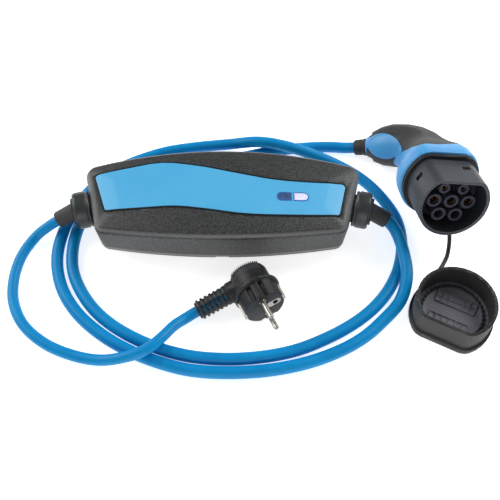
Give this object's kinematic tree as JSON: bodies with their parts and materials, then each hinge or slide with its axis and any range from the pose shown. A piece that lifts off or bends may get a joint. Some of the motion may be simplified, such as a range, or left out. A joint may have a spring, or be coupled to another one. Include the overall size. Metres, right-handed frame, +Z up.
{
  "type": "portable electric vehicle charger",
  "caption": "Bowed control box on a lead: mains plug on a short cord at one end, coiled charging cable with a hand-held vehicle connector and a tethered cap at the other.",
  "frame": {"origin": "middle of the control box, on the floor it stands on", "axes": "+X along the box towards the charging cable's gland, +Y towards the far bowed side, +Z up"},
  "size_m": [0.4379, 0.2651, 0.0941],
  "materials": {
    "housing": "fine grain",
    "panel": "satin",
    "window_dark": "gloss",
    "window_lit": "gloss",
    "soft_black": "matte",
    "hard_black": "satin",
    "blue_shell": "satin",
    "cable_blue": "semi-gloss",
    "steel": "polished",
    "contact": "satin",
    "board": "satin",
    "component": "satin",
    "winding": "satin"
  },
  "bodies": {
    "root": {"upper_shell": "housing", "lower_shell": "housing", "housing_gasket": "soft_black", "housing_screws": "steel", "inlay_panel": "panel", "status_window_left": "window_dark", "status_window_right": "window_lit", "circuit_board": "board", "relays": "component", "current_sensor": "component", "power_supply": "winding", "mains_terminals": "board", "charging_terminals": "board", "left_gland_body": "hard_black", "left_gland_locknut": "hard_black", "left_gland_nut": "hard_black", "left_gland_seal": "soft_black", "left_bend_sleeve": "soft_black", "right_gland_body": "hard_black", "right_gland_locknut": "hard_black", "right_gland_nut": "hard_black", "right_gland_seal": "soft_black", "right_bend_sleeve": "soft_black", "mains_lead": "cable_blue", "plug_body": "hard_black", "plug_pins": "steel", "plug_earth_clips": "steel", "plug_bend_sleeve": "soft_black", "charging_cable": "cable_blue", "connector_body": "blue_shell", "connector_grip": "soft_black", "connector_inlays": "blue_shell", "connector_boot": "soft_black", "connector_gasket": "soft_black", "connector_shroud": "hard_black", "contact_carrier": "hard_black", "power_contacts": "contact", "signal_contacts": "contact", "cap_lanyard": "soft_black", "protective_cap": "soft_black"}
  },
  "joints": []
}
